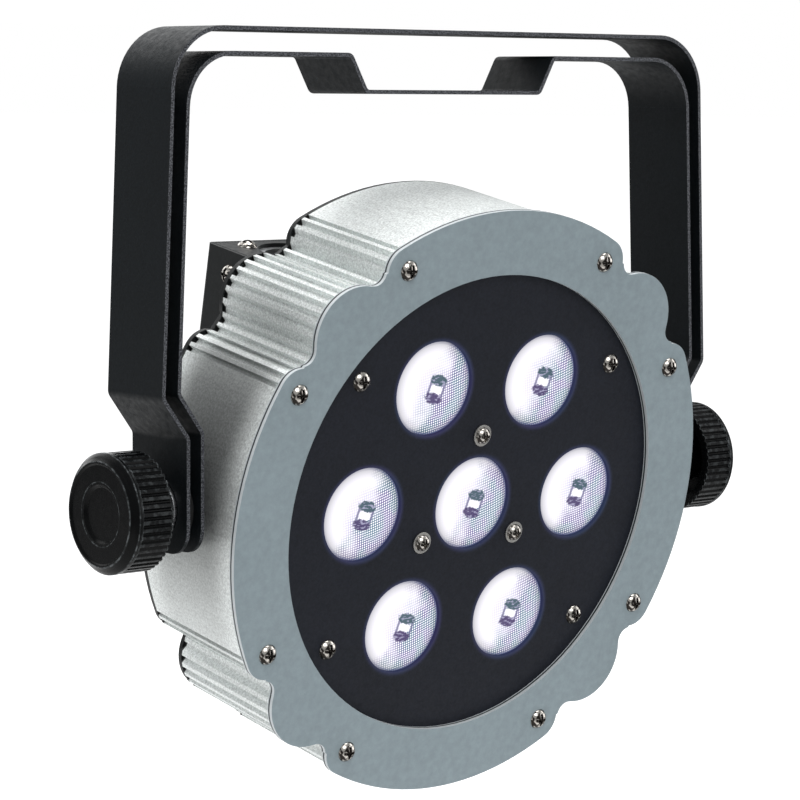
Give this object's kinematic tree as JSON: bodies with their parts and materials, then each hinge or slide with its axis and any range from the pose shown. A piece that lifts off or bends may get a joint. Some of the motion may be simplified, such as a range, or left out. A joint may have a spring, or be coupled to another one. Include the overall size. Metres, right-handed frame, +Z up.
{
  "type": "par can light",
  "caption": "Flat round stage light with a fluted aluminium housing, round lenses, a rear control box and two strap brackets clamped by side knobs.",
  "frame": {"origin": "centre of the clamp hole, in the top face of the outer bracket", "axes": "+Z up along the outer bracket's arms, +X along the pivot line to the right seen from the front, the light shines towards -Y and a little down"},
  "size_m": [0.2372, 0.1095, 0.2272],
  "materials": {
    "bracket_paint": "fine-textured black powder coat",
    "box_paint": "satin black powder coat",
    "washer_rubber": "black rubber",
    "block_alloy": "bare aluminium",
    "plain_steel": "zinc-plated steel",
    "knob_plastic": "glossy black moulding",
    "ring_paint": "satin blue-grey paint",
    "screw_nickel": "nickel plate",
    "panel_black": "matt black",
    "lens_clear": "clear acrylic with a textured face",
    "holder_plastic": "black moulding",
    "emitter": "phosphor and resin",
    "board_white": "white solder mask on aluminium",
    "housing_alloy": "satin silver, fine grain",
    "socket_metal": "nickel-plated die casting",
    "contact_brass": "plated contact",
    "contact_nickel": "nickel-plated contact",
    "fuse_glass": "glass tube",
    "board_green": "circuit board",
    "window_tint": "tinted acrylic",
    "button_plastic": "black button"
  },
  "bodies": {
    "outer_bracket": {"outer_bracket": "bracket_paint"},
    "inner_bracket": {"inner_bracket": "bracket_paint", "friction_washer_left": "washer_rubber", "friction_washer_right": "washer_rubber"},
    "head": {"pivot_spacer_left": "washer_rubber", "pivot_spacer_right": "washer_rubber", "pivot_block_left": "block_alloy", "pivot_block_right": "block_alloy", "front_ring": "ring_paint", "ring_screws": "screw_nickel", "front_panel": "panel_black", "panel_screws": "screw_nickel", "panel_washers": "screw_nickel", "lens_0": "lens_clear", "lens_1": "lens_clear", "lens_2": "lens_clear", "lens_3": "lens_clear", "lens_4": "lens_clear", "lens_5": "lens_clear", "lens_6": "lens_clear", "lens_holders": "holder_plastic", "led_emitters": "emitter", "led_board": "board_white", "standoffs": "block_alloy", "heat_plate": "block_alloy", "housing": "housing_alloy", "rear_panel": "box_paint", "rear_screws": "screw_nickel", "box_shell": "box_paint", "box_top": "box_paint", "box_bottom": "box_paint", "box_screws": "screw_nickel", "dmx_in_socket": "socket_metal", "dmx_in_pins": "contact_brass", "dmx_out_socket": "socket_metal", "dmx_out_core": "holder_plastic", "socket_screws": "screw_nickel", "mains_inlet": "holder_plastic", "mains_pins": "contact_nickel", "fuse_holder": "holder_plastic", "power_supply": "board_green", "driver_board": "board_green", "display_window": "window_tint", "display_module": "board_green", "fuse": "fuse_glass"},
    "thrust_left": {"thrust_washer_left": "plain_steel"},
    "knob_left": {"knob_left": "knob_plastic", "knob_stud_left": "plain_steel", "knob_cap_left": "knob_plastic"},
    "thrust_right": {"thrust_washer_right": "plain_steel"},
    "knob_right": {"knob_right": "knob_plastic", "knob_stud_right": "plain_steel", "knob_cap_right": "knob_plastic"},
    "fuse_cap": {"fuse_cap": "holder_plastic"},
    "dmx_latch": {"dmx_latch": "socket_metal"},
    "button_1": {"button_1": "button_plastic"},
    "button_2": {"button_2": "button_plastic"},
    "button_3": {"button_3": "button_plastic"},
    "button_4": {"button_4": "button_plastic"}
  },
  "joints": [
    {"name": "head_tilt", "type": "hinge", "parent": "outer_bracket", "child": "head", "pos_m": [0, 0, -0.135], "axis": [1, 0, 0], "continuous": true},
    {"name": "inner_bracket_swing", "type": "hinge", "parent": "outer_bracket", "child": "inner_bracket", "pos_m": [0, 0, -0.135], "axis": [1, 0, 0], "continuous": true},
    {"name": "knob_left_travel", "type": "slide", "parent": "head", "child": "thrust_left", "axis": [-1, 0, 0], "range_m": [0, 0.005]},
    {"name": "knob_left_turn", "type": "hinge", "parent": "thrust_left", "child": "knob_left", "pos_m": [0, 0, -0.135], "axis": [-1, 0, 0], "range_deg": [0, 1440]},
    {"name": "knob_right_travel", "type": "slide", "parent": "head", "child": "thrust_right", "axis": [1, 0, 0], "range_m": [0, 0.005]},
    {"name": "knob_right_turn", "type": "hinge", "parent": "thrust_right", "child": "knob_right", "pos_m": [0, 0, -0.135], "axis": [1, 0, 0], "range_deg": [0, 1440]},
    {"name": "fuse_cap_turn", "type": "hinge", "parent": "head", "child": "fuse_cap", "pos_m": [0.024, 0.0505, -0.17227], "axis": [0, 0.1857, -0.9826], "range_deg": [0, 90]},
    {"name": "dmx_latch_press", "type": "slide", "parent": "head", "child": "dmx_latch", "axis": [0, 0.1857, -0.9826], "range_m": [0, 0.0015], "stiffness_N_per_m": 400},
    {"name": "button_1_press", "type": "slide", "parent": "head", "child": "button_1", "axis": [0, -0.9826, -0.1857], "range_m": [0, 0.001], "stiffness_N_per_m": 600},
    {"name": "button_2_press", "type": "slide", "parent": "head", "child": "button_2", "axis": [0, -0.9826, -0.1857], "range_m": [0, 0.001], "stiffness_N_per_m": 600},
    {"name": "button_3_press", "type": "slide", "parent": "head", "child": "button_3", "axis": [0, -0.9826, -0.1857], "range_m": [0, 0.001], "stiffness_N_per_m": 600},
    {"name": "button_4_press", "type": "slide", "parent": "head", "child": "button_4", "axis": [0, -0.9826, -0.1857], "range_m": [0, 0.001], "stiffness_N_per_m": 600}
  ],
  "couplings": [
    {"joint": "knob_left_travel", "follows": "knob_left_turn", "m_per_rad": 0.00019894},
    {"joint": "knob_right_travel", "follows": "knob_right_turn", "m_per_rad": 0.00019894}
  ]
}
